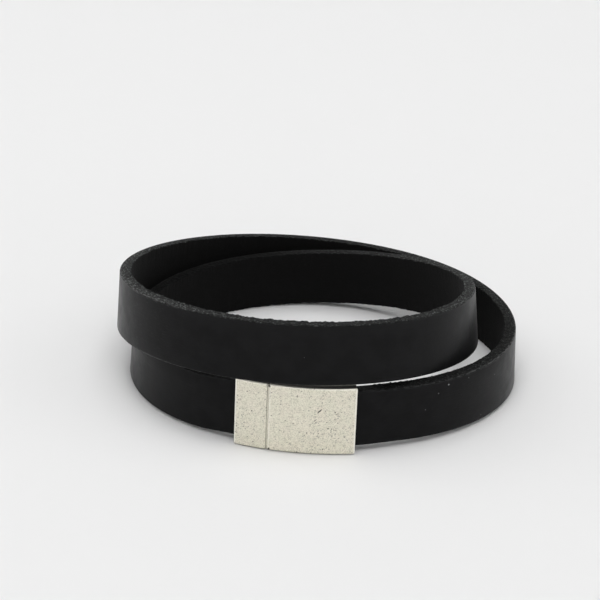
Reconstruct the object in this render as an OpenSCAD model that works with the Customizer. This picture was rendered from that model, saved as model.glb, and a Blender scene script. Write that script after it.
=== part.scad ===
// Double-wrap leather bracelet with a curved two-part clasp, lying on its edge.
// Millimetres, +Z up. The origin is the middle of its footprint, on the surface it lies on.
// The clasp faces -Y. A bearing of 0 points at the clasp's middle and grows clockwise
// seen from above: 90 is left (-X), 180 is the back, 270 is right (+X).
// The strap leaves the clasp's left end just past bearing 0, runs round twice, and
// comes back into the clasp's right end just before bearing 720.

/* [Strap] */
// Width of the leather strap
strap_w = 10; // [8:0.5:12]
// Thickness of the leather strap
strap_t = 2; // [1.6:0.1:2.2]
// Wear on the strap's four long corners
strap_corner = 0.15; // [0.05:0.05:0.4]
// Radius of the outer turn, to the middle of the leather
turn_r = 34; // [32:0.5:40]
// Sections along the strap
strap_sections = 240; // [120:20:300]

/* [Clasp] */
// Length of the closed clasp, along the middle of the leather
clasp_len = 19.2; // [18.5:0.1:22]
// Length of the short half, from its end to the seam
short_len = 5.5; // [5:0.1:6]
// Radius that the clasp is curved to, at the middle of the leather
clasp_r = 34.5; // [30:0.1:60]
// Metal above and below the leather
clasp_rim = 1; // [0.7:0.05:1]
// Metal in front of the leather and behind it
clasp_wall = 1.2; // [0.9:0.05:1.5]
// Rounding of the clasp's long edges
clasp_round = 0.35; // [0.1:0.05:0.5]
// Gap at the seam between the two halves
seam_gap = 0.05; // [0.05:0.05:0.2]
// Length of the step beside the seam, on the short half
seam_step_len = 0.3; // [0.1:0.05:0.5]
// Depth of the step beside the seam
seam_step_in = 0.1; // [0.05:0.01:0.2]

/* [Closure] */
// Length of the tongue that enters the long half
tongue_len = 4.4; // [3.5:0.1:5]
// Thickness of the tongue
tongue_t = 2.4; // [2.2:0.1:2.6]
// Height of the tongue
tongue_h = 8; // [7:0.5:8.5]
// Length of each magnet
magnet_len = 2; // [1.5:0.1:2.2]
// Thickness of each magnet
magnet_t = 1.6; // [1.2:0.1:1.8]
// Height of each magnet
magnet_h = 6.8; // [5:0.2:6.8]

/* [Hidden] */

// How the strap lies: one row for each 45 degrees of bearing, over both turns.
// The rows pull a smooth closed curve, which passes near them.
// inset: from the outer turn's circle in to the middle of the leather, in mm
// lift: height of the leather's lower edge above the surface, in strap widths
// lean: tilt of the leather, its upper edge inwards, in degrees
INSET = 0;
LIFT = 1;
LEAN = 2;
WRAP = [
    // inset, lift, lean
    [4.2, 0.13, -6.0],   // lower turn, behind the clasp's middle
    [1.8, 0.02, 0.0],
    [2.8, 0.00, 4.0],    // left, on the surface
    [6.2, 0.00, 3.5],
    [6.7, 0.04, 5.5],    // back, inside the outer turn and still on the surface
    [7.6, 0.36, 6.5],
    [8.3, 0.77, 5.5],    // right, the inner and upper turn
    [5.2, 1.14, 8.5],
    [1.2, 1.34, 10.0],   // front, over the clasp
    [-0.5, 1.20, 6.0],
    [0.7, 0.71, 0.0],    // left, outside the lower turn
    [0.4, 0.25, 0.0],
    [0.6, -0.01, 1.0],   // back, down on the surface outside
    [1.1, 0.01, 3.5],
    [0.0, -0.01, 3.0],   // right, on the surface
    [2.6, 0.09, -2.5]
];
row_step = 720 / len(WRAP);

// Slack on each side of the leather in its slots, a magnet in its pocket and the tongue
slot_fit = 0.08;
magnet_fit = 0.05;
tongue_fit = 0.1;
// Distance from the outer turn's circle in to the leather at the clasp's middle
clasp_inset = 3.5;
// Metal left behind the bottom of each slot
web = 1;
// Degrees over which the free strap settles from the clasp's curve to its own
settle = 14;
// Degrees either side of a section that its direction is taken over
nudge = 0.5;
// Points on each rounded corner of the clasp, and facets to a full circle of its curve
corner_steps = 3;
curve_facets = 240;
// How far a cut runs past the face that it opens
past = 1;

clasp_h = strap_w + 2 * clasp_rim;
clasp_t = strap_t + 2 * clasp_wall;
arc_centre_y = clasp_r + clasp_inset - turn_r;
degrees_per_mm = 180 / (PI * clasp_r);

// Thickness and height of what is swept along the clasp
tongue_size = [tongue_t, tongue_h];
magnet_size = [magnet_t, magnet_h];
slot_size = [strap_t + 2 * slot_fit, strap_w + 2 * slot_fit];
socket_size = tongue_size + 2 * tongue_fit * [1, 1];
pocket_size = magnet_size + 2 * magnet_fit * [1, 1];

// Places along the clasp, in mm from its left end
seam_at = short_len + seam_gap;
short_slot_end = short_len - web;
tongue_end = short_len + tongue_len;
socket_end = tongue_end + tongue_fit;
socket_pocket_end = socket_end + magnet_len + magnet_fit;
long_slot_start = socket_pocket_end + web;
clasp_middle = clasp_len / 2;

// Bearing of a place along the clasp
function clasp_bearing(at) =
    let (swing = (clasp_middle - at) * degrees_per_mm)
    atan2(clasp_r * sin(swing), clasp_r * cos(swing) - arc_centre_y);
mouth = clasp_bearing(0);
strap_start = clasp_bearing(short_slot_end - slot_fit);
strap_end = 720 + clasp_bearing(long_slot_start + slot_fit);

// The wrap's columns at any bearing, as a uniform cubic B-spline through the table
function wrap_row(i) = WRAP[(i % len(WRAP) + len(WRAP)) % len(WRAP)];
function wrap_at(bearing) =
    let (u = bearing / row_step, i = floor(u), t = u - i)
    (pow(1 - t, 3) * wrap_row(i - 1)
        + (3 * pow(t, 3) - 6 * t * t + 4) * wrap_row(i)
        + (-3 * pow(t, 3) + 3 * t * t + 3 * t + 1) * wrap_row(i + 1)
        + pow(t, 3) * wrap_row(i + 2)) / 6;

// 0 inside the clasp, 1 where the strap is free of it
function freedom(bearing) =
    let (past_mouth = min(bearing, 720 - bearing) - mouth,
        f = max(0, min(1, past_mouth / settle)))
    f * f * (3 - 2 * f);
function mix(held, free, f) = held * (1 - f) + free * f;

// Reach from the origin to the clasp's curve
function clasp_reach(bearing) =
    sqrt(pow(clasp_r, 2) - pow(arc_centre_y * sin(bearing), 2)) - arc_centre_y * cos(bearing);

function lean_at(bearing) = wrap_at(bearing)[LEAN] * freedom(bearing);

// Middle of the leather at a bearing
function middle_at(bearing) =
    let (row = wrap_at(bearing),
        free = freedom(bearing),
        r = mix(clasp_reach(bearing), turn_r - row[INSET], free),
        stand = strap_w / 2 * cos(row[LEAN]) + strap_t / 2 * abs(sin(row[LEAN])),
        z = mix(clasp_h / 2, row[LIFT] * strap_w + stand, free))
    [-r * sin(bearing), -r * cos(bearing), z];

// One section of the leather: [across, up] from its middle, corners cut back
half_t = strap_t / 2;
half_w = strap_w / 2;
strap_outline = [
    [half_t, half_w - strap_corner],
    [half_t - strap_corner, half_w],
    [strap_corner - half_t, half_w],
    [-half_t, half_w - strap_corner],
    [-half_t, strap_corner - half_w],
    [strap_corner - half_t, -half_w],
    [half_t - strap_corner, -half_w],
    [half_t, strap_corner - half_w]
];
sides = len(strap_outline);

function unit(v) = v / norm(v);
function strap_section(bearing) =
    let (middle = middle_at(bearing),
        along = unit(middle_at(bearing + nudge) - middle_at(bearing - nudge)),
        flat_out = unit(cross([0, 0, 1], along)),
        upright = cross(along, flat_out),
        lean = lean_at(bearing),
        out = flat_out * cos(lean) + upright * sin(lean),
        up = upright * cos(lean) - flat_out * sin(lean))
    [for (p = strap_outline) middle + p[0] * out + p[1] * up];

module strap() {
    turn_per_section = (strap_end - strap_start) / strap_sections;
    points = [
        for (i = [0:strap_sections])
            each strap_section(strap_start + i * turn_per_section)
    ];
    sides_faces = [
        for (i = [0:strap_sections - 1], k = [0:sides - 1])
            let (a = i * sides + k, b = i * sides + (k + 1) % sides)
            each [[a, b + sides, b], [a, a + sides, b + sides]]
    ];
    start_face = [for (k = [0:sides - 1]) k];
    end_face = [for (k = [sides - 1:-1:0]) strap_sections * sides + k];
    color("#242426")
        polyhedron(points, concat(sides_faces, [start_face, end_face]));
}

// A rectangle with rounded corners, centred on the leather inside the clasp
function rounded(size, r) =
    let (x = size[0] / 2 - r, y = size[1] / 2 - r,
        quarter = 90 / corner_steps)
    [for (c = [[1, 1, 0], [-1, 1, 90], [-1, -1, 180], [1, -1, 270]], k = [0:corner_steps])
        [c[0] * x + r * cos(c[2] + k * quarter), c[1] * y + r * sin(c[2] + k * quarter)]];

// Sweeps a section along the clasp's curve, from one place along it to another
module along_clasp(from, to) {
    translate([0, arc_centre_y, 0])
        rotate([0, 0, 270 + (from - clasp_middle) * degrees_per_mm])
            rotate_extrude(angle = (to - from) * degrees_per_mm, $fn = curve_facets)
                translate([clasp_r, clasp_h / 2])
                    children();
}

module case_section(set_back = 0) {
    polygon(rounded([clasp_t, clasp_h] - 2 * set_back * [1, 1], clasp_round));
}

module clasp_short_half() {
    color("#d9d5c9")
        difference() {
            union() {
                along_clasp(0, short_len - seam_step_len) case_section();
                along_clasp(0, short_len) case_section(seam_step_in);
                along_clasp(short_slot_end, tongue_end) square(tongue_size, center = true);
            }
            along_clasp(-past, short_slot_end) square(slot_size, center = true);
            along_clasp(tongue_end - magnet_len - magnet_fit, tongue_end + past)
                square(pocket_size, center = true);
        }
}

module clasp_long_half() {
    color("#d9d5c9")
        difference() {
            along_clasp(seam_at, clasp_len) case_section();
            along_clasp(seam_at - past, socket_end) square(socket_size, center = true);
            along_clasp(socket_end - tongue_fit, socket_pocket_end)
                square(pocket_size, center = true);
            along_clasp(long_slot_start, clasp_len + past) square(slot_size, center = true);
        }
}

module magnet(from) {
    color("#9a9a9c")
        along_clasp(from, from + magnet_len) square(magnet_size, center = true);
}

module tongue_magnet() {
    magnet(tongue_end - magnet_len);
}

module socket_magnet() {
    magnet(socket_end);
}

strap();
clasp_short_half();
clasp_long_half();
tongue_magnet();
socket_magnet();
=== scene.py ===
import math

import bmesh
import bpy
import numpy as np
from mathutils import Matrix, Vector, noise


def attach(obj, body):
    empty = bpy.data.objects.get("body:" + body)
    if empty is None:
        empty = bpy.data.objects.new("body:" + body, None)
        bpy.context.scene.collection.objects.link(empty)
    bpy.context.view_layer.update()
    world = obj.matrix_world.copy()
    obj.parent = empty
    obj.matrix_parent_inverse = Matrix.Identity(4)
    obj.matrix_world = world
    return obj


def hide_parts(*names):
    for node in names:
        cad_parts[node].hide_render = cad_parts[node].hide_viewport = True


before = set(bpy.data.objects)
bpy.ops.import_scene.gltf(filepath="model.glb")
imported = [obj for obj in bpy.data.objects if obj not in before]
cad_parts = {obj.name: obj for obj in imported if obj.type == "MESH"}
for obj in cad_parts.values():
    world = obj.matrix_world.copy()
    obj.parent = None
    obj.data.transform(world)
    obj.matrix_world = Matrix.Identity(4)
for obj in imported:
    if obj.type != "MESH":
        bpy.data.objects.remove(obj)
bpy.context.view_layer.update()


# The view. The bracelet lies on a pale table with its clasp to the front, seen a little
# from the right and from above through a long lens, with the camera turned slightly.
MM = 0.001
CAMERA_AZIMUTH = math.radians(6.14)
CAMERA_ELEVATION = math.radians(24.12)
CAMERA_ROLL = math.radians(2.33)
CAMERA_DISTANCE = 470.8 * MM
CAMERA_LENS = 163.18
CAMERA_SENSOR = 36
CAMERA_NEAR = 10 * MM
AIM_SIDE = -3.34 * MM
AIM_HEIGHT = 12.98 * MM

to_camera = Vector((math.sin(CAMERA_AZIMUTH) * math.cos(CAMERA_ELEVATION),
                    -math.cos(CAMERA_AZIMUTH) * math.cos(CAMERA_ELEVATION),
                    math.sin(CAMERA_ELEVATION)))
to_right = Vector((math.cos(CAMERA_AZIMUTH), math.sin(CAMERA_AZIMUTH), 0))
level = Matrix((to_right, to_camera.cross(to_right), to_camera)).transposed()
camera = bpy.data.objects.new("camera", bpy.data.cameras.new("camera"))
camera.data.lens = CAMERA_LENS
camera.data.sensor_width = CAMERA_SENSOR
camera.data.clip_start = CAMERA_NEAR
camera.location = to_right * AIM_SIDE + Vector((0, 0, AIM_HEIGHT)) + to_camera * CAMERA_DISTANCE
camera.rotation_euler = (level @ Matrix.Rotation(CAMERA_ROLL, 3, "Z")).to_euler()
bpy.context.scene.collection.objects.link(camera)
bpy.context.scene.camera = camera
bpy.context.scene.view_settings.view_transform = "Standard"


# The strap. One strip of black cowhide, 10 mm wide and 2 mm thick, dyed through, with a
# smooth grain side outwards, a matt flesh side inwards and rough knife-cut edges. It is
# cut flat, wound twice round on its edge, and glued into the clasp at both ends.
STRAP_W = 10.0
STRAP_T = 2.0
# Radius of the outer turn, to the middle of the leather
TURN_R = 34.0
# Degrees round both turns
BOTH_TURNS = 720
WRAP = np.array([
    # inset from the outer turn's circle in mm, lift in strap widths, lean in degrees
    [4.2, 0.13, -6.0],   # lower turn, behind the clasp's middle
    [1.8, 0.02, 0.0],
    [2.8, 0.00, 4.0],    # left, on the surface
    [6.2, 0.00, 3.5],
    [6.7, 0.04, 5.5],    # back, inside the outer turn and still on the surface
    [7.6, 0.36, 6.5],
    [8.3, 0.77, 5.5],    # right, the inner and upper turn
    [5.2, 1.14, 8.5],
    [1.2, 1.34, 10.0],   # front, over the clasp
    [-0.5, 1.20, 6.0],
    [0.7, 0.71, 0.0],    # left, outside the lower turn
    [0.4, 0.25, 0.0],
    [0.6, -0.01, 1.0],   # back, down on the surface outside
    [1.1, 0.01, 3.5],
    [0.0, -0.01, 3.0],   # right, on the surface
    [2.6, 0.09, -2.5],
])
INSET, LIFT, LEAN = range(3)
ROW_STEP = BOTH_TURNS / len(WRAP)
# The clasp's curve, which holds both ends of the strap
CLASP_LEN = 19.2
CLASP_H = 12.0
CLASP_R = 34.5
CLASP_INSET = 3.5
CURVE_Y = CLASP_R + CLASP_INSET - TURN_R
# Places along the clasp, from its left end, that the strap's two ends reach
STRAP_START_AT = 4.42
STRAP_END_AT = 13.13
# Degrees over which the free strap settles from the clasp's curve to its own
SETTLE = 14


def clasp_bearing(at):
    """Bearing of a place along the clasp, in degrees from its middle, left positive."""
    swing = (CLASP_LEN / 2 - at) / CLASP_R
    return math.degrees(math.atan2(CLASP_R * math.sin(swing), CLASP_R * math.cos(swing) - CURVE_Y))


def wrap_at(bearing):
    """The wrap's columns at each bearing, as a uniform cubic B-spline through its rows."""
    u = bearing / ROW_STEP
    i = np.floor(u).astype(int)
    t = (u - i)[:, None]

    def row(k):
        return WRAP[(i + k) % len(WRAP)]

    return ((1 - t) ** 3 * row(-1) + (3 * t ** 3 - 6 * t * t + 4) * row(0)
            + (-3 * t ** 3 + 3 * t * t + 3 * t + 1) * row(1) + t ** 3 * row(2)) / 6


def freedom(bearing):
    """0 inside the clasp, 1 where the strap is free of it."""
    past_mouth = np.minimum(bearing, BOTH_TURNS - bearing) - clasp_bearing(0)
    f = np.clip(past_mouth / SETTLE, 0, 1)
    return f * f * (3 - 2 * f)


def middle_at(bearing):
    """Middle of the leather at each bearing, in mm."""
    turn = np.radians(bearing)
    rows = wrap_at(bearing)
    lean = np.radians(rows[:, LEAN])
    free = freedom(bearing)
    reach = np.sqrt(CLASP_R ** 2 - (CURVE_Y * np.sin(turn)) ** 2) - CURVE_Y * np.cos(turn)
    r = reach * (1 - free) + (TURN_R - rows[:, INSET]) * free
    stand = STRAP_W / 2 * np.cos(lean) + STRAP_T / 2 * np.abs(np.sin(lean))
    z = CLASP_H / 2 * (1 - free) + (rows[:, LIFT] * STRAP_W + stand) * free
    return np.stack([-r * np.sin(turn), -r * np.cos(turn), z], -1)


def unit(v):
    return v / np.linalg.norm(v, axis=1, keepdims=True)


# The wrap as frames a fixed step of length apart, by bearings measured off finely. Each
# frame's direction is taken over NUDGE degrees to either side.
FINE_STEPS = 7200
STATIONS = 2400
NUDGE = 0.5
fine = np.linspace(clasp_bearing(STRAP_START_AT), BOTH_TURNS + clasp_bearing(STRAP_END_AT), FINE_STEPS)
fine_step = np.linalg.norm(np.diff(middle_at(fine), axis=0), axis=1)
fine_length = np.concatenate([[0], np.cumsum(fine_step)])
STRAP_LENGTH = fine_length[-1]
station_bearing = np.interp(np.linspace(0, STRAP_LENGTH, STATIONS + 1), fine_length, fine)
station_free = freedom(station_bearing)
station_middle = middle_at(station_bearing)
station_along = unit(middle_at(station_bearing + NUDGE) - middle_at(station_bearing - NUDGE))
flat_out = unit(np.cross([0, 0, 1], station_along))
upright = np.cross(station_along, flat_out)
station_lean = np.radians(wrap_at(station_bearing)[:, LEAN] * station_free)[:, None]
station_out = flat_out * np.cos(station_lean) + upright * np.sin(station_lean)
station_up = upright * np.cos(station_lean) - flat_out * np.sin(station_lean)

X, Y, Z = range(3)
ROUND_STEPS = 3


def long_edges(bm, axis, span):
    """The edges that run more than a span along one axis."""
    return [e for e in bm.edges if abs(e.verts[0].co[axis] - e.verts[1].co[axis]) > span]


def round_off(bm, geom, radius, affect):
    """Rounds the corners of a flat outline, or the edges of a solid."""
    bmesh.ops.bevel(bm, geom=geom, offset=radius, segments=ROUND_STEPS, profile=0.5,
                    affect=affect, material=-1)


def draw_out(bm, faces, move):
    """Extrudes faces by a move, and returns the faces at its end."""
    made = bmesh.ops.extrude_face_region(bm, geom=faces)["geom"]
    bmesh.ops.translate(bm, verts=[g for g in made if isinstance(g, bmesh.types.BMVert)], vec=move)
    return [g for g in made if isinstance(g, bmesh.types.BMFace)]


def finished(bm, name):
    """A piece made of the bmesh, at the origin."""
    mesh = bpy.data.meshes.new(name)
    bm.to_mesh(mesh)
    bm.free()
    piece = bpy.data.objects.new(name, mesh)
    bpy.context.scene.collection.objects.link(piece)
    return piece


def points_of(mesh):
    """A mesh's vertices, one to a row."""
    points = np.zeros(len(mesh.vertices) * 3)
    mesh.vertices.foreach_get("co", points)
    return points.reshape(-1, 3)


def place_points(mesh, points):
    """Moves a mesh's vertices to places given in mm."""
    mesh.vertices.foreach_set("co", (points * MM).ravel())


# The flat strip: x across its thickness with the grain side at +x, y up its width, z along it
GRAIN_CORNER = 0.2
FLESH_CORNER = 0.1
EDGE_CUTS = 7
FACE_CUTS = 3
bm = bmesh.new()
bmesh.ops.create_grid(bm, x_segments=1, y_segments=1, size=0.5)
bmesh.ops.scale(bm, verts=bm.verts, vec=(STRAP_T, STRAP_W, 1))
for side, corner in ((1, GRAIN_CORNER), (-1, FLESH_CORNER)):
    round_off(bm, [v for v in bm.verts if v.co.x * side > 0], corner, "VERTICES")
bmesh.ops.subdivide_edges(bm, edges=long_edges(bm, X, STRAP_T / 2), cuts=EDGE_CUTS)
bmesh.ops.subdivide_edges(bm, edges=long_edges(bm, Y, STRAP_W / 2), cuts=FACE_CUTS)
draw_out(bm, bm.faces[:], (0, 0, STRAP_LENGTH))
bmesh.ops.subdivide_edges(bm, edges=long_edges(bm, Z, STRAP_LENGTH / 2), cuts=STATIONS - 1)
bmesh.ops.recalc_face_normals(bm, faces=bm.faces)

# Grain, flesh and cut faces take their own materials, by how far they face sideways. The
# strip is unwrapped flat, in mm of its length and of its girth from the grain side's middle,
# scaled to fit the map.
MAP_SPAN = 400.0
SIDEWAYS = 0.75
ENDWAYS = 0.5
GRAIN, FLESH, CUT = range(3)
uv = bm.loops.layers.uv.new("strip")
for face in bm.faces:
    n = face.normal
    face.smooth = abs(n.z) < ENDWAYS
    face.material_index = CUT if abs(n.x) < SIDEWAYS else GRAIN if n.x > 0 else FLESH
    for loop in face.loops:
        x, y, z = loop.vert.co
        if abs(n.y) > abs(n.x):
            girth = math.copysign(STRAP_W / 2 + STRAP_T / 2 - x, n.y)
        else:
            girth = y if n.x > 0 else STRAP_W + STRAP_T - y
        loop[uv].uv = (z / MAP_SPAN, girth / MAP_SPAN)

# The knife leaves the flesh side's corner standing proud and ragged, and short fibres on the
# cut, less so on the lower edge, which the surface presses flat where it rests. Four longer
# fibres stand up beside the clasp, where the cut is otherwise cleaner. Heights, pitches and
# places are in mm, and a power says how closely its effect keeps to the flesh side.
CUT_REACH = 0.4
FLESH_PROUD = 0.2
RAGGED = 0.12
RAGGED_PITCHES = (3.1, 1.3, 0.6, 0.3)
RAGGED_SEED = 11
RAGGED_POWER = 3
# The same corner also wanders sideways
ASTRAY = 0.06
ASTRAY_PITCHES = (1.7, 0.7, 0.35)
ASTRAY_SEED = 29
ASTRAY_POWER = 6
# What the upper edge adds to a seed and the lower takes off it, and a share of the seed that
# keeps the noise off its own grid
EDGE_SEED = 6
OFF_GRID = 0.37
# The short fibres, and the part of the thickness over which they fade out at the grain side
CUT_ROUGH = 0.05
ROUGH_FADE = 0.25
ROUGH_WAVES = [
    # waves in a mm of thickness, seed, waves in a mm of length
    (3, 7, 1.9),
    (6, 17, 4.3),
]
LOWER_EDGE = 0.45
CLEAN_CUT = 0.4
CLEAN_FROM = 320
CLEAN_OVER = 30
FIBRE_POWER = 4
LOOSE_FIBRES = [
    # mm along the strap, mm that it stands up, half its width in mm
    (373.3, 0.32, 0.22),
    (372.4, 0.14, 0.30),
    (370.7, 0.12, 0.25),
    (368.9, 0.10, 0.30),
]
# Least height of the leather above the surface
REST = 0.01


def wander(seed, side, along, pitches):
    """Uneven run of one edge's cut along the strap, within about 1 either way."""
    row = seed + EDGE_SEED * side
    return sum(noise.noise(Vector((row, OFF_GRID * row, along / pitch))) for pitch in pitches)


def cut_rise(x, side, along, across):
    """How far the cut stands up at a point, in mm."""
    cleaner = min(1.0, max(0.0, (along - CLEAN_FROM) / CLEAN_OVER))
    ragged = RAGGED * (1 - (1 - CLEAN_CUT) * cleaner)
    rough = sum(noise.noise(Vector((x * by_thickness, seed * side, along * by_length)))
                for by_thickness, seed, by_length in ROUGH_WAVES)
    rise = FLESH_PROUD * across
    rise += ragged * across ** RAGGED_POWER * wander(RAGGED_SEED, side, along, RAGGED_PITCHES)
    rise += CUT_ROUGH * rough * min(1.0, across / ROUGH_FADE)
    if side < 0:
        return rise * LOWER_EDGE
    for middle, height, half_width in LOOSE_FIBRES:
        near = max(0.0, 1 - ((along - middle) / half_width) ** 2)
        rise += height * near * across ** FIBRE_POWER
    return rise


for vert in bm.verts:
    x, y, z = vert.co
    station = min(STATIONS, max(0, round(z / STRAP_LENGTH * STATIONS)))
    free = station_free[station]
    side = math.copysign(1, y)
    across = (STRAP_T / 2 - x) / STRAP_T
    on_cut = max(0.0, 1 - (STRAP_W / 2 - abs(y)) / CUT_REACH)
    if on_cut > 0 and free > 0:
        astray = across ** ASTRAY_POWER * wander(ASTRAY_SEED, side, z, ASTRAY_PITCHES)
        vert.co.y += side * on_cut * free * cut_rise(x, side, z, across)
        vert.co.x -= ASTRAY * on_cut * free * astray

# The strip is wound along the wrap
strap = finished(bm, "strap_wound")
flat = points_of(strap.data)
at = np.clip(np.round(flat[:, Z] / STRAP_LENGTH * STATIONS).astype(int), 0, STATIONS)
wound = station_middle[at] + flat[:, :1] * station_out[at] + flat[:, 1:2] * station_up[at]
wound[:, Z] = np.maximum(wound[:, Z], REST)
place_points(strap.data, wound)
strap.data.update()


def material(name):
    """A new material, its node tree and its Principled shader."""
    mat = bpy.data.materials.new(name)
    mat.use_nodes = True
    return mat, mat.node_tree, mat.node_tree.nodes["Principled BSDF"]


def fill(tree, node, inputs):
    """Sets a node's inputs by name or number, each to a value or to another node's output."""
    for key, value in inputs.items():
        if isinstance(value, bpy.types.NodeSocket):
            tree.links.new(value, node.inputs[key])
        else:
            node.inputs[key].default_value = value


def add(tree, kind, inputs, **settings):
    """A new node of a kind, with its settings and inputs."""
    node = tree.nodes.new("ShaderNode" + kind)
    for key, value in settings.items():
        setattr(node, key, value)
    fill(tree, node, inputs)
    return node


def calc(tree, operation, a, b=0.0):
    return add(tree, "Math", {0: a, 1: b}, operation=operation).outputs[0]


def times(tree, a, b):
    return calc(tree, "MULTIPLY", a, b)


def remap(tree, value, between, to=(0.0, 1.0)):
    """A value eased from one range to another."""
    sockets = {"Value": value, "From Min": between[0], "From Max": between[1],
               "To Min": to[0], "To Max": to[1]}
    return add(tree, "MapRange", sockets, interpolation_type="SMOOTHSTEP").outputs["Result"]


def blend(tree, factor, a, b):
    """A colour between two, by a factor."""
    return add(tree, "Mix", {0: factor, 6: a, 7: b}, data_type="RGBA").outputs[2]


def grey(value, tint=(1, 1, 1)):
    return tuple(value * t for t in tint) + (1,)


def ramp(tree, value, rows):
    """A tone that follows a value through the rows of a table."""
    node = add(tree, "ValToRGB", {0: value})
    while len(node.color_ramp.elements) < len(rows):
        node.color_ramp.elements.new(0.5)    # until its row places it, below
    for element, (at, tone) in zip(node.color_ramp.elements, rows):
        element.position = at
        element.color = grey(tone)
    return node.outputs[0]


def cloudy(tree, place, scale, detail, **inputs):
    """Soft noise over a place, with so many waves in a mm."""
    sockets = {"Vector": place, "Scale": scale, "Detail": detail, **inputs}
    return add(tree, "TexNoise", sockets).outputs["Fac"]


def stretched(tree, place, scales):
    """A place scaled unevenly, so that a pattern over it is drawn out one way."""
    return add(tree, "VectorMath", {0: place, 1: scales}, operation="MULTIPLY").outputs[0]


def bump(tree, height, depth):
    """A bump from a height of 0 to 1 that stands for a depth in mm."""
    return add(tree, "Bump", {"Height": height, "Distance": depth * MM, "Strength": 1.0}).outputs[0]


def new_group(name, inputs, outputs):
    """An empty shader group with its named inputs, as values or vectors, and outputs."""
    group = bpy.data.node_groups.new(name, "ShaderNodeTree")
    for label, value in inputs.items():
        kind = "NodeSocketVector" if isinstance(value, tuple) else "NodeSocketFloat"
        group.interface.new_socket(label, in_out="INPUT", socket_type=kind).default_value = value
    for label in outputs:
        group.interface.new_socket(label, in_out="OUTPUT", socket_type="NodeSocketFloat")
    given = group.nodes.new("NodeGroupInput").outputs
    return group, given, group.nodes.new("NodeGroupOutput")


def use(tree, group, inputs):
    """Places a group in a material with its values, and returns its outputs."""
    node = tree.nodes.new("ShaderNodeGroup")
    node.node_tree = group
    fill(tree, node, inputs)
    return node.outputs


# Slow patches, where dye, wax or haze lies unevenly. Place is in mm, and so is Size.
PATCH_INPUTS = {"Place": (0, 0, 0), "Size": 2.0}
patches, given, gives = new_group("patches", PATCH_INPUTS, ["Amount"])
patchy = cloudy(patches, given["Place"], calc(patches, "DIVIDE", 1.0, given["Size"]), 3.0)
fill(patches, gives, {"Amount": remap(patches, patchy, between=(0.35, 0.65))})

# Short matted fibres, as bump height and as a mask of the tufts that catch the light
FIBRE_INPUTS = {"Place": (0, 0, 0), "Size": 0.3}
TUFT_HEIGHT = 0.3
fibres, given, gives = new_group("fibres", FIBRE_INPUTS, ["Height", "Tufts"])
pitch = calc(fibres, "DIVIDE", 1.0, given["Size"])
matted = cloudy(fibres, given["Place"], pitch, 4.0, Roughness=0.65, Distortion=1.5)
tufts = add(fibres, "TexVoronoi", {"Vector": given["Place"], "Scale": pitch}, distance="EUCLIDEAN")
near_tuft = remap(fibres, tufts.outputs["Distance"], between=(0.1, 0.5), to=(1.0, 0.0))
raised = calc(fibres, "ADD", matted, times(fibres, near_tuft, TUFT_HEIGHT))
lit = times(fibres, near_tuft, remap(fibres, matted, between=(0.45, 0.65)))
fill(fibres, gives, {"Height": raised, "Tufts": lit})

# Specks of lint. Spacing is the mesh in mm that holds at most one speck, and Share the part
# of its cells that do.
LINT_INPUTS = {"Place": (0, 0, 0), "Spacing": 3.0, "Size": 0.12, "Share": 0.2}
lint, given, gives = new_group("lint", LINT_INPUTS, ["Mask"])
per_mm = calc(lint, "DIVIDE", 1.0, given["Spacing"])
cells = add(lint, "TexVoronoi", {"Vector": given["Place"], "Scale": per_mm}).outputs
reach = calc(lint, "DIVIDE", given["Size"], given["Spacing"])
spot = calc(lint, "LESS_THAN", cells["Distance"], reach)
chance = add(lint, "SeparateColor", {0: cells["Color"]}).outputs[0]
fill(lint, gives, {"Mask": times(lint, spot, calc(lint, "LESS_THAN", chance, given["Share"]))})

# Wear along the strap's grain-side corners: streaks where the leather has been rubbed pale,
# within Width mm of the corner, which also carry painted sheen where Amount puts them on the
# turns' sides. Scuffs are the same streaks anywhere on the leather.
WEAR_INPUTS = {"Place": (0, 0, 0), "Corner": 0.0, "Width": 0.4, "Amount": 1.0}
STREAK_STRETCH = (0.9, 4.5, 1)
wear, given, gives = new_group("wear", WEAR_INPUTS, ["Mask", "Scuffs"])
streaks = cloudy(wear, stretched(wear, given["Place"], STREAK_STRETCH), 1.0, 3.0)
away = calc(wear, "DIVIDE", calc(wear, "ABSOLUTE", given["Corner"]), given["Width"])
near_corner = remap(wear, away, between=(0.0, 1.0), to=(1.0, 0.0))
rubbed_and_lit = times(wear, near_corner, remap(wear, streaks, between=(0.4, 0.6)))
scuffed = remap(wear, streaks, between=(0.58, 0.7))
fill(wear, gives, {"Mask": times(wear, rubbed_and_lit, given["Amount"]),
                   "Scuffs": times(wear, scuffed, given["Amount"])})


def on_strip(tree):
    """A place on the flat strip in mm, along it and round its girth."""
    where = add(tree, "UVMap", {}, uv_map="strip").outputs[0]
    return add(tree, "VectorMath", {0: where, "Scale": MAP_SPAN}, operation="SCALE").outputs[0]


def strip_measures(tree, place):
    """How far along the strip a place is, as a share of the map, and how many mm past its corner."""
    along, girth, _ = add(tree, "SeparateXYZ", {0: place}).outputs
    past_corner = calc(tree, "SUBTRACT", calc(tree, "ABSOLUTE", girth), STRAP_W / 2)
    return calc(tree, "DIVIDE", along, MAP_SPAN), past_corner


def tone_along(tree, along, rows):
    """A tone that follows the rows of a table along the strap, in mm."""
    return ramp(tree, along, [(mm / MAP_SPAN, tone) for mm, tone in rows])
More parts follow.
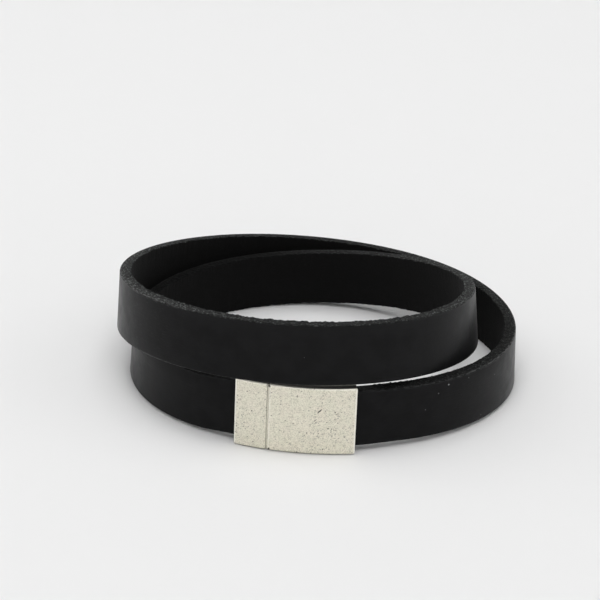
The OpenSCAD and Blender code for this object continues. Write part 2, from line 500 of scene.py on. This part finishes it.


# Grain side: dyed nearly black and waxed, close-grained, with fine pores and slow creases,
# and rubbed pale in streaks, most on the turns' left and right sides, where the streaks are also
# painted sheen. Where the wax lies thick it is paler and duller.
DYE_TINT = (0.96, 0.98, 1.05)
DYE_TONES = (0.0032, 0.0048)
WAX_ROUGHNESS = (0.34, 0.40)
WAX_SIZE = 3.0
PORE_SIZE = 0.32
PORE_SHARE = 0.4
CREASE_SIZE = 1.4
SCUFF_STRETCH = (0.3, 3.0, 1)
SCUFF_SHARE = 1.2
GRAIN_DEPTH = 0.013
WEAR_AND_SHEEN = [
    # mm along the strap, how much it is rubbed pale and painted with sheen
    (0, 0.1),
    (120, 0.3),
    (134, 0.9),
    (146, 0.08),
    (195, 0.08),
    (210, 1.0),
    (235, 1.0),
    (255, 0.5),
    (300, 0.5),
    (325, 0.8),
    (347, 0.8),
    (362, 0.2),
]
RUBBED_WIDTH = 0.5
RUBBED_SHARE = 0.6
RUBBED_AND_SHEEN_TONE = 0.09
SCUFFED_SHARE = 0.14
SCUFFED_AND_SHEEN_TONE = 0.07
LINT_TONE = 0.25
STRAY_LINT = 0.3
LINT = [
    # mm along the strap, mm up from its middle, radius in mm, strength
    (360.6, 4.0, 0.17, 1.0),
    (362.5, 2.8, 0.15, 0.35),
    (364.7, 0.2, 0.13, 0.30),
    (351.9, -4.1, 0.14, 0.30),
    (348.6, 2.2, 0.15, 0.30),
]
mat, tree, shader = material("leather_grain")
place = on_strip(tree)
along, past_corner = strip_measures(tree, place)
pores = add(tree, "TexVoronoi", {"Vector": place, "Scale": 1 / PORE_SIZE}, feature="SMOOTH_F1")
creases = cloudy(tree, place, 1 / CREASE_SIZE, 5.0, Distortion=0.6)
scuffs = cloudy(tree, stretched(tree, place, SCUFF_STRETCH), 1.0, 3.0)
surface = calc(tree, "ADD", times(tree, pores.outputs["Distance"], PORE_SHARE), creases)
surface = calc(tree, "ADD", surface, times(tree, scuffs, SCUFF_SHARE))
wax = use(tree, patches, {"Place": place, "Size": WAX_SIZE})["Amount"]
dye_and_light = blend(tree, wax, *(grey(tone, DYE_TINT) for tone in DYE_TONES))
speck = use(tree, lint, {"Place": place, "Spacing": 4.0, "Size": 0.11, "Share": 0.3})["Mask"]
speck = times(tree, speck, STRAY_LINT)
for from_start, up, radius, strength in LINT:
    away = add(tree, "VectorMath", {0: place, 1: (from_start, up, 0)}, operation="DISTANCE")
    spot = remap(tree, away.outputs["Value"], between=(radius * 0.5, radius), to=(1.0, 0.0))
    speck = calc(tree, "MAXIMUM", speck, times(tree, spot, strength))
dye_and_light = blend(tree, speck, dye_and_light, grey(LINT_TONE))
rubs_and_sheen = use(tree, wear, {"Place": place, "Corner": past_corner, "Width": RUBBED_WIDTH,
                        "Amount": tone_along(tree, along, WEAR_AND_SHEEN)})
dye_and_light = blend(tree, times(tree, rubs_and_sheen["Mask"], RUBBED_SHARE), dye_and_light, grey(RUBBED_AND_SHEEN_TONE))
dye_and_light = blend(tree, times(tree, rubs_and_sheen["Scuffs"], SCUFFED_SHARE), dye_and_light, grey(SCUFFED_AND_SHEEN_TONE))
roughness = remap(tree, wax, between=(0.0, 1.0), to=WAX_ROUGHNESS)
fill(tree, shader, {"Base Color": dye_and_light, "Roughness": roughness, "Specular IOR Level": 0.09,
                    "Sheen Weight": 0.06, "Sheen Roughness": 0.23,
                    "Normal": bump(tree, surface, GRAIN_DEPTH)})
strap.data.materials.append(mat)

# Flesh side: dyed black, matt, with a short nap whose tufts are painted lighter as a highlight
NAP_SIZE = 0.45
NAP_DEPTH = 0.05
NAP_TONE_AND_HIGHLIGHT = (0.0035, 0.007)
NAP_LINT = 0.4
NAP_LINT_TONE = 0.08
mat, tree, shader = material("leather_flesh")
place = on_strip(tree)
nap = use(tree, fibres, {"Place": place, "Size": NAP_SIZE})
speck = use(tree, lint, {"Place": place, "Spacing": 5.0, "Size": 0.14, "Share": 0.25})["Mask"]
dye_and_light = blend(tree, nap["Tufts"], *(grey(tone) for tone in NAP_TONE_AND_HIGHLIGHT))
dye_and_light = blend(tree, times(tree, speck, NAP_LINT), dye_and_light, grey(NAP_LINT_TONE))
fill(tree, shader, {"Base Color": dye_and_light, "Roughness": 0.9, "Specular IOR Level": 0.15,
                    "Normal": bump(tree, nap["Height"], NAP_DEPTH)})
strap.data.materials.append(mat)

# Knife-cut edge: dyed by hand after cutting. Its tone along the strap is painted light and
# shade: darkest at the back and where the upper turn shades the lower one, palest on the
# upper turn's left and right sides, which catch the side light. It is darker in the dense
# grain layer, then greyer and more fibrous to the flesh side.
EDGE_TONE_AND_SHADE = [
    # mm along the strap, tone with its painted light and shade
    (0, 0.004),
    (60, 0.0015),
    (80, 0.003),
    (92, 0.008),
    (106, 0.020),
    (124, 0.027),
    (145, 0.023),
    (160, 0.016),
    (180, 0.014),
    (198, 0.027),
    (240, 0.030),
    (262, 0.013),
    (288, 0.011),
    (318, 0.017),
    (334, 0.008),
    (350, 0.009),
    (367, 0.005),
    (383, 0.004),
]
EDGE_PROFILE = [
    # part of the thickness from the grain side, share of the tone
    (0.00, 0.45),
    (0.10, 0.55),
    (0.22, 0.95),
    (0.40, 1.0),
    (0.62, 0.68),
    (0.80, 0.72),
    (0.92, 0.75),
    (0.98, 0.3),
]
EDGE_TINT = (0.97, 1.03, 1.0)
# The layers waver by this part of the thickness, in waves of this many mm
WAVER = 0.1
WAVER_SIZE = 0.5
FRAY_STRETCH = (0.7, 1, 1)
FRAY_SIZE = 0.34
FRAY_DEPTH = 0.09
# Shares of the tone, from painted shade in the gaps between the fibres to painted light on the
# fibres that stand up, and from there to the painted highlight on the lit tufts
FRAY_SHADE_AND_LIGHT = (0.15, 2.4)
TUFT_HIGHLIGHT_TONES = (1.0, 3.2)
EDGE_RUBBED_WIDTH = 0.4
EDGE_RUBBED_AND_SHEEN_TONE = 0.12
mat, tree, shader = material("leather_cut")
place = on_strip(tree)
along, past_corner = strip_measures(tree, place)
fray = use(tree, fibres, {"Place": stretched(tree, place, FRAY_STRETCH), "Size": FRAY_SIZE})
waver = remap(tree, cloudy(tree, place, 1 / WAVER_SIZE, 2.0), between=(0.2, 0.8), to=(-WAVER, WAVER))
inward = calc(tree, "ADD", calc(tree, "DIVIDE", past_corner, STRAP_T), waver)
tone = times(tree, tone_along(tree, along, EDGE_TONE_AND_SHADE), ramp(tree, inward, EDGE_PROFILE))
tone = times(tree, tone, remap(tree, fray["Height"], between=(0.43, 0.73), to=FRAY_SHADE_AND_LIGHT))
tone = times(tree, tone, remap(tree, fray["Tufts"], between=(0.0, 0.8), to=TUFT_HIGHLIGHT_TONES))
dye_and_light = blend(tree, tone, grey(0), grey(1, EDGE_TINT))
# Pale streaks by the corners: rubbed wear, and painted sheen on the turns' sides
rubs_and_sheen = use(tree, wear, {"Place": place, "Corner": past_corner, "Width": EDGE_RUBBED_WIDTH,
                        "Amount": tone_along(tree, along, WEAR_AND_SHEEN)})
dye_and_light = blend(tree, rubs_and_sheen["Mask"], dye_and_light, grey(EDGE_RUBBED_AND_SHEEN_TONE))
fill(tree, shader, {"Base Color": dye_and_light, "Roughness": 0.75, "Specular IOR Level": 0.12,
                    "Normal": bump(tree, fray["Height"], FRAY_DEPTH)})
strap.data.materials.append(mat)
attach(strap, "root")
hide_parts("strap")


# The clasp's halves. Zinc castings, curved to the wrist and plated in antique silver, satin
# with fine casting pits that hold dark patina. The short half's tongue slides into the long
# half's socket, magnets hold them together, and a slot in the far end of each takes the strap.
CLASP_T = 4.4
CLASP_ROUND = 0.22
CLASP_END_ROUND = 0.18
STEP_ROUND = 0.04
SEAM_ROUND = 0.07
SHORT_LEN = 5.5
SEAM_STEP_LEN = 0.3
SEAM_STEP_IN = 0.1
SEAM_AT = 5.53
# Thickness and height of what is pushed into the ends or out of them
SHOULDER = (CLASP_T - 2 * SEAM_STEP_IN, CLASP_H - 2 * SEAM_STEP_IN)
SLOT = (2.16, 10.16)
TONGUE = (2.4, 8.0)
SOCKET = (2.6, 8.2)
MAGNET_POCKET = (1.7, 6.9)
POCKET_DEPTH = 2.05
# Places along the clasp, from its left end
SHORT_SLOT_END = 4.5
TONGUE_END = 9.9
SOCKET_END = 10.0
LONG_SLOT_START = 13.05
# An end is flat within this, and is first inset by this much all round
FLAT_WITHIN = 1e-4
FIRST_INSET = 0.02


def end_face(bm, at):
    """The widest face that lies square across the block at a place along it."""
    flat_faces = [f for f in bm.faces if all(abs(v.co.x - at) < FLAT_WITHIN for v in f.verts)]
    return max(flat_faces, key=lambda f: f.calc_area())


def block(start, end, start_round, end_round):
    """A block of the clasp's section, flat and upright, with its long edges and ends rounded."""
    bm = bmesh.new()
    bmesh.ops.create_cube(bm, size=1)
    bmesh.ops.scale(bm, verts=bm.verts, vec=(end - start, CLASP_T, CLASP_H))
    bmesh.ops.translate(bm, verts=bm.verts, vec=((start + end) / 2, 0, CLASP_H / 2))
    round_off(bm, long_edges(bm, X, 1), CLASP_ROUND, "EDGES")
    for at, radius in ((start, start_round), (end, end_round)):
        round_off(bm, end_face(bm, at).edges[:], radius, "EDGES")
    return bm


def push(bm, face, size, move):
    """Insets a flat end to a thickness and height, pushes it along the block, and returns it."""
    bmesh.ops.inset_region(bm, faces=[face], thickness=FIRST_INSET, use_even_offset=True)
    spans = [max(v.co[k] for v in face.verts) - min(v.co[k] for v in face.verts) for k in (Y, Z)]
    bmesh.ops.scale(bm, verts=face.verts, vec=(1, size[0] / spans[0], size[1] / spans[1]),
                    space=Matrix.Translation((0, 0, -CLASP_H / 2)))
    return draw_out(bm, [face], (move, 0, 0))[0]


short_half = block(0, SHORT_LEN - SEAM_STEP_LEN, CLASP_END_ROUND, STEP_ROUND)
push(short_half, end_face(short_half, 0), SLOT, SHORT_SLOT_END)
face = push(short_half, end_face(short_half, SHORT_LEN - SEAM_STEP_LEN), SHOULDER, SEAM_STEP_LEN)
face = push(short_half, face, TONGUE, TONGUE_END - SHORT_LEN)
push(short_half, face, MAGNET_POCKET, -POCKET_DEPTH)
long_half = block(SEAM_AT, CLASP_LEN, SEAM_ROUND, CLASP_END_ROUND)
face = push(long_half, end_face(long_half, SEAM_AT), SOCKET, SOCKET_END - SEAM_AT)
push(long_half, face, MAGNET_POCKET, POCKET_DEPTH)
push(long_half, end_face(long_half, CLASP_LEN), SLOT, LONG_SLOT_START - CLASP_LEN)

# Marks of the casting and of wear on the front, the darkest ones listed one by one
MARKS = [
    # mm from the clasp's left end, height, length, width, slant in degrees, depth
    (13.45, 7.88, 1.10, 0.26, 49, 0.12),
    (12.82, 6.20, 0.75, 0.20, 48, 0.05),
    (12.96, 5.78, 0.30, 0.24, 0, 0.06),
    (15.83, 7.76, 0.32, 0.24, 120, 0.08),
    (16.28, 7.52, 0.26, 0.22, 0, 0.06),
    (16.30, 7.12, 0.22, 0.22, 0, 0.06),
    (14.86, 4.78, 0.36, 0.26, 0, 0.08),
    (15.40, 4.73, 0.26, 0.22, 0, 0.06),
    (11.59, 3.84, 0.26, 0.26, 0, 0.07),
    (13.41, 3.84, 0.26, 0.22, 60, 0.06),
    (13.26, 3.35, 0.32, 0.22, 45, 0.06),
    (14.06, 3.77, 0.24, 0.24, 0, 0.05),
    (15.98, 3.66, 0.24, 0.24, 0, 0.05),
    (16.14, 2.58, 0.22, 0.22, 0, 0.05),
    (13.39, 1.73, 0.24, 0.22, 0, 0.05),
    (14.13, 0.97, 0.34, 0.24, 90, 0.07),
    (9.93, 10.40, 0.34, 0.26, 30, 0.08),
    (9.47, 5.35, 0.26, 0.26, 0, 0.06),
    (8.23, 5.76, 0.26, 0.24, 0, 0.06),
    (7.45, 9.25, 0.24, 0.24, 0, 0.06),
    (7.42, 8.61, 0.24, 0.24, 0, 0.06),
    (5.89, 10.53, 0.24, 0.24, 0, 0.06),
    (3.86, 10.14, 0.26, 0.22, 0, 0.06),
    (2.02, 10.04, 0.24, 0.24, 0, 0.06),
    (2.87, 6.70, 0.36, 0.24, 90, 0.08),
    (1.26, 5.55, 0.24, 0.24, 0, 0.05),
    (0.64, 4.95, 0.22, 0.30, 0, 0.06),
    (1.64, 4.31, 0.24, 0.24, 0, 0.05),
    (3.03, 2.42, 0.26, 0.24, 0, 0.06),
    (0.54, 2.23, 0.22, 0.26, 0, 0.05),
    (0.44, 3.40, 0.22, 0.26, 0, 0.06),
    (0.42, 7.70, 0.22, 0.24, 0, 0.06),
    (0.44, 8.98, 0.22, 0.24, 0, 0.06),
    (5.56, 11.66, 0.34, 0.40, 0, 0.16),
    (5.75, 0.25, 0.34, 0.40, 0, 0.14),
]
# Fine pits: how many on a face, the share that gathers about one place, and their ranges of
# widths in mm, and of lengths and depths as parts of the width
PITS = 640
GATHERED = 0.35
PIT_WIDTHS = (0.08, 0.19)
PIT_LENGTHS = (1, 1.5)
PIT_DEPTHS = (0.12, 0.4)
PIT_SEED = 7
rng = np.random.default_rng(PIT_SEED)


def scattered(middle, spread, full):
    """Seeded places of the pits along one side of a face, some of them gathered."""
    return np.where(rng.random(PITS) < GATHERED, rng.normal(middle, spread, PITS),
                    rng.uniform(0, full, PITS))


def pits(middle, spread):
    """Seeded fine pits as rows like those of the marks, thickest about one place on a face."""
    wide = rng.uniform(*PIT_WIDTHS, PITS)
    at = scattered(middle[0], spread[0], CLASP_LEN)
    height = scattered(middle[1], spread[1], CLASP_H)
    length = wide * rng.uniform(*PIT_LENGTHS, PITS)
    slant = rng.uniform(0, 180, PITS)
    depth = wide * rng.uniform(*PIT_DEPTHS, PITS)
    return np.stack([at, height, length, wide, slant, depth], -1)


front_marks = np.concatenate([np.array(MARKS), pits((13.5, 4.0), (2.4, 2.8))])
back_marks = pits((8.0, 6.0), (4.0, 3.0))


def sunk(places, marks):
    """How deep the marks press in at each place on a face, in mm."""
    deep = np.zeros(len(places))
    for at, height, length, width, slant, depth in marks:
        away = places - (at, height)
        c, s = math.cos(math.radians(slant)), math.sin(math.radians(slant))
        u = (away[:, 0] * c + away[:, 1] * s) / (length / 2)
        v = (away[:, 1] * c - away[:, 0] * s) / (width / 2)
        deep = np.maximum(deep, depth * np.clip(1 - u * u - v * v, 0, 1))
    return deep


# The outside is cut to squares of about GRID mm, through the edges that run further than
# CUT_OVER mm along x, y and z. Its skin is what lies within SKIN mm of the section's sides.
GRID = 0.095
CUT_OVER = (2, 1.5, 5)
SKIN = 0.5


def on_skin(vert):
    from_middle = abs(vert.co.z - CLASP_H / 2)
    return abs(vert.co.y) > CLASP_T / 2 - SKIN or from_middle > CLASP_H / 2 - SKIN


def cut_finely(bm):
    """Cuts a flat half's outside finely enough for its marks."""
    for axis, size in ((Z, CLASP_H), (Y, CLASP_T)):
        bmesh.ops.subdivide_edges(bm, edges=long_edges(bm, axis, CUT_OVER[axis]), cuts=round(size / GRID))
    outer = [e for e in long_edges(bm, X, CUT_OVER[X]) if all(on_skin(v) for v in e.verts)]
    bmesh.ops.subdivide_edges(bm, edges=outer, cuts=round(outer[0].calc_length() / GRID))
    bmesh.ops.recalc_face_normals(bm, faces=bm.faces)
    for face in bm.faces:
        face.smooth = True


# Patina fills the marks and the foot of the seam's step, and darkens the sides that are never
# rubbed. Those sides also carry painted shade, blackest along the front, where the strap above
# shades the top, and a painted contact shadow darkens the foot of the clasp. Depths and places
# are in mm, and the others are parts of a full stain.
PATINA_DEPTH = 0.055
STEP_FOOT_WIDTH = 0.01
STEP_FOOT_STAIN = 0.45
UNRUBBED_FROM = 0.12
UNRUBBED_FADE = 0.1
SHADED_TO = 1.1
SHADED_REST = 0.35
FOOT_SHADE_HEIGHT = 0.12
FOOT_SHADE = 1.5
# The rims of the two ends, the top and the long half's side of the seam are rubbed bright and
# carry a painted highlight, in full within RUBBED_RIM mm and fading out over as much again
RUBBED_RIM = 0.16
END_RUB_HIGHLIGHT = 1.0
SEAM_RUB_HIGHLIGHT = 0.45
TOP_RUB_HIGHLIGHT = 0.7
# How many mm still count as on a face, and the least angle between faces that stays sharp
NEAR = 0.01
SHARP_FROM = math.radians(45)


def unrubbed_and_shaded_at(flat):
    """How little each point is rubbed, with its painted shade, from 0 on the front and back faces to 1.
    """
    behind_front = CLASP_T / 2 - flat[:, Y]
    from_back = CLASP_T / 2 + flat[:, Y]
    share = np.clip((behind_front - UNRUBBED_FROM) / UNRUBBED_FADE, 0, 1)
    share *= np.clip(1 + SHADED_TO - behind_front, SHADED_REST, 1)
    share *= np.clip((from_back - UNRUBBED_FROM) / UNRUBBED_FADE, 0, 1)
    return share


def patina_and_shade_at(flat, deep, unrubbed_and_shaded):
    """The patina and painted shade at each point, from 0 to 1."""
    in_marks = np.clip(deep / PATINA_DEPTH, 0, 1)
    # A painted contact shadow along the clasp's foot, fading out upwards
    foot_shade = np.clip(FOOT_SHADE - flat[:, Z] / FOOT_SHADE_HEIGHT, 0, 1)
    step_foot = np.abs(flat[:, X] - (SHORT_LEN - SEAM_STEP_LEN)) < STEP_FOOT_WIDTH
    return np.max([in_marks, unrubbed_and_shaded, foot_shade, step_foot * STEP_FOOT_STAIN], axis=0)


def rub_and_highlight_at(flat, unrubbed_and_shaded):
    """How bright each point is rubbed and lit by a painted highlight, from 0 to 1."""
    from_end = np.minimum(flat[:, X], CLASP_LEN - flat[:, X])
    from_seam = np.where(flat[:, X] > SEAM_AT - NEAR, flat[:, X] - SEAM_AT, CLASP_LEN)
    from_top = CLASP_H - flat[:, Z]
    rims = ((from_end, END_RUB_HIGHLIGHT), (from_seam, SEAM_RUB_HIGHLIGHT), (from_top, TOP_RUB_HIGHLIGHT))
    rubbed_and_lit = np.max([much * np.clip(2 - away / RUBBED_RIM, 0, 1) for away, much in rims], axis=0)
    return rubbed_and_lit * (1 - unrubbed_and_shaded)


def cast(bm, name):
    """Presses a flat half's marks in, keeps its patina, wear, painted shade and painted highlights, and
    bends it to the clasp's curve.
    """
    cut_finely(bm)
    half = finished(bm, name)
    flat = points_of(half.data)
    deep = np.zeros(len(flat))
    for side, marks in ((1, front_marks), (-1, back_marks)):
        rows = np.nonzero(flat[:, Y] * side > CLASP_T / 2 - SEAM_STEP_IN - NEAR)[0]
        deep[rows] = sunk(flat[rows][:, [X, Z]], marks)
        flat[rows, Y] -= side * deep[rows]
    unrubbed_and_shaded = unrubbed_and_shaded_at(flat)
    patina_and_shade = half.data.attributes.new("patina_and_shade", "FLOAT", "POINT")
    patina_and_shade.data.foreach_set("value", patina_and_shade_at(flat, deep, unrubbed_and_shaded))
    rub_and_highlight = half.data.attributes.new("rub_and_highlight", "FLOAT", "POINT")
    rub_and_highlight.data.foreach_set("value", rub_and_highlight_at(flat, unrubbed_and_shaded))
    swing = (flat[:, X] - CLASP_LEN / 2) / CLASP_R
    reach = CLASP_R + flat[:, Y]
    bent = np.stack([reach * np.sin(swing), CURVE_Y - reach * np.cos(swing), flat[:, Z]], -1)
    place_points(half.data, bent)
    half.data.set_sharp_from_angle(angle=SHARP_FROM)
    half.data.update()
    return half


def in_mm(tree):
    """A place on a piece in mm."""
    here = add(tree, "TexCoord", {}).outputs["Object"]
    return add(tree, "VectorMath", {0: here, "Scale": 1 / MM}, operation="SCALE").outputs[0]


# The plating: a slightly clouded silver with a dull fine grit and brighter mottling, rubbed
# bright and painted with highlights on the rims, and black with patina and painted shade, which
# hide the metal where they are thick
PLATE = (0.742, 0.722, 0.606, 1)
CLOUDED = (0.772, 0.732, 0.626, 1)
CLOUD_SIZE = 1.6
GRIT = (0.42, 0.395, 0.32, 1)
GRIT_SIZE = 0.16
GRIT_SHARE = 0.66
GRIT_DEPTH = 0.012
MOTTLED = (0.88, 0.85, 0.73, 1)
MOTTLE_SIZE = 0.5
MOTTLE_SHARE = 0.28
RUB_HIGHLIGHT = (0.96, 0.94, 0.86, 1)
RUB_HIGHLIGHT_SHARE = 0.9
PATINA_AND_SHADE = (0.012, 0.011, 0.010, 1)
PATINA_AND_SHADE_SHARE = 0.95
PATINA_COVER = 0.9
PATINA_ROUGHNESS = 0.3
SATIN_ROUGHNESS = (0.5, 0.42)
mat, tree, shader = material("clasp_silver")
place = in_mm(tree)
grit = cloudy(tree, place, 1 / GRIT_SIZE, 2.0)
mottle = cloudy(tree, place, 1 / MOTTLE_SIZE, 2.0)
rub_and_highlight = add(tree, "Attribute", {}, attribute_name="rub_and_highlight").outputs["Fac"]
patina_and_shade = add(tree, "Attribute", {}, attribute_name="patina_and_shade").outputs["Fac"]
clouds = use(tree, patches, {"Place": place, "Size": CLOUD_SIZE})["Amount"]
plate = blend(tree, clouds, PLATE, CLOUDED)
plate = blend(tree, remap(tree, grit, between=(0.34, 0.58), to=(GRIT_SHARE, 0.0)), plate, GRIT)
plate = blend(tree, remap(tree, mottle, between=(0.38, 0.62), to=(0.0, MOTTLE_SHARE)), plate, MOTTLED)
plate = blend(tree, times(tree, rub_and_highlight, RUB_HIGHLIGHT_SHARE), plate, RUB_HIGHLIGHT)
plate = blend(tree, times(tree, patina_and_shade, PATINA_AND_SHADE_SHARE), plate, PATINA_AND_SHADE)
metallic = calc(tree, "SUBTRACT", 1.0, times(tree, patina_and_shade, PATINA_COVER))
satin = remap(tree, grit, between=(0.3, 0.7), to=SATIN_ROUGHNESS)
roughness = calc(tree, "ADD", satin, times(tree, patina_and_shade, PATINA_ROUGHNESS))
fill(tree, shader, {"Base Color": plate, "Metallic": metallic, "Roughness": roughness,
                    "Specular IOR Level": 0.2, "Normal": bump(tree, grit, GRIT_DEPTH)})
for bm, name in ((short_half, "clasp_short_half"), (long_half, "clasp_long_half")):
    half = cast(bm, name + "_cast")
    half.data.materials.append(mat)
    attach(half, "root")
    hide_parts(name)


# The magnets. Two small nickel-plated blocks, glued flush into the tongue and the socket,
# where the closed clasp hides them. They keep the meshes of their solids.
NICKEL_TINT = (1, 0.97, 0.92)
NICKEL_TONES = (0.60, 0.68)
NICKEL_ROUGHNESS = (0.25, 0.38)
HAZE_SIZE = 0.8
mat, tree, shader = material("magnet_nickel")
haze = use(tree, patches, {"Place": in_mm(tree), "Size": HAZE_SIZE})["Amount"]
nickel = blend(tree, haze, *(grey(tone, NICKEL_TINT) for tone in NICKEL_TONES))
roughness = remap(tree, haze, between=(0.0, 1.0), to=NICKEL_ROUGHNESS)
fill(tree, shader, {"Base Color": nickel, "Metallic": 1.0, "Roughness": roughness})
for name in ("tongue_magnet", "socket_magnet"):
    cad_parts[name].data.materials.clear()
    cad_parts[name].data.materials.append(mat)


# The table. A pale matt seamless ground of white acrylic, which light spreads through. It
# reaches TABLE_REACH metres to each side, past all that the camera sees.
TABLE_REACH = 3
TABLE_TONE = 0.82
LIGHT_SPREAD = 2.5 * MM
bm = bmesh.new()
bmesh.ops.create_grid(bm, x_segments=1, y_segments=1, size=TABLE_REACH)
table = finished(bm, "table")
mat, tree, shader = material("table_white")
fill(tree, shader, {"Base Color": grey(TABLE_TONE), "Roughness": 0.7, "Specular IOR Level": 0.2,
                    "Subsurface Weight": 1.0, "Subsurface Radius": (1, 1, 1),
                    "Subsurface Scale": LIGHT_SPREAD})
table.data.materials.append(mat)


# The light. A white tent, bright along the ground and overhead, with a soft box above the
# front, one overhead and a weaker one to each side.
HORIZON = 2.0
HORIZON_FADE = (0.2, 0.3)
TENT = 0.1
TENT_TOP = 0.45
TENT_TOP_FADE = (0.68, 0.82)
LAMP_REACH = 2.4
LAMPS = [
    # name, degrees from the front to the right, elevation in degrees, width, height, watts
    ("front_box", 0, 57, 1.45, 1.1, 15.6),
    ("top_box", 0, 90, 1.6, 1.6, 21.0),
    ("left_box", -90, 39, 1.6, 1.4, 9.0),
    ("right_box", 90, 39, 1.6, 1.4, 5.2),
]
world = bpy.data.worlds.new("room")
world.use_nodes = True
tree = world.node_tree
way = add(tree, "TexCoord", {}).outputs["Generated"]
height = add(tree, "SeparateXYZ", {0: way}).outputs[2]
ring = remap(tree, height, between=HORIZON_FADE, to=(HORIZON, 0.0))
dome = remap(tree, height, between=TENT_TOP_FADE, to=(TENT, TENT_TOP))
fill(tree, tree.nodes["Background"], {"Color": grey(1), "Strength": calc(tree, "ADD", ring, dome)})
bpy.context.scene.world = world

for name, turn, elevation, width, tall, watts in LAMPS:
    lamp = bpy.data.lights.new(name, "AREA")
    lamp.shape = "RECTANGLE"
    lamp.size = width
    lamp.size_y = tall
    lamp.energy = watts
    turn, elevation = math.radians(turn), math.radians(elevation)
    lamp_way = Vector((math.sin(turn) * math.cos(elevation), -math.cos(turn) * math.cos(elevation),
                       math.sin(elevation)))
    lamp_object = bpy.data.objects.new(name, lamp)
    lamp_object.location = lamp_way * LAMP_REACH
    lamp_object.rotation_euler = lamp_way.to_track_quat("Z", "Y").to_euler()
    bpy.context.scene.collection.objects.link(lamp_object)
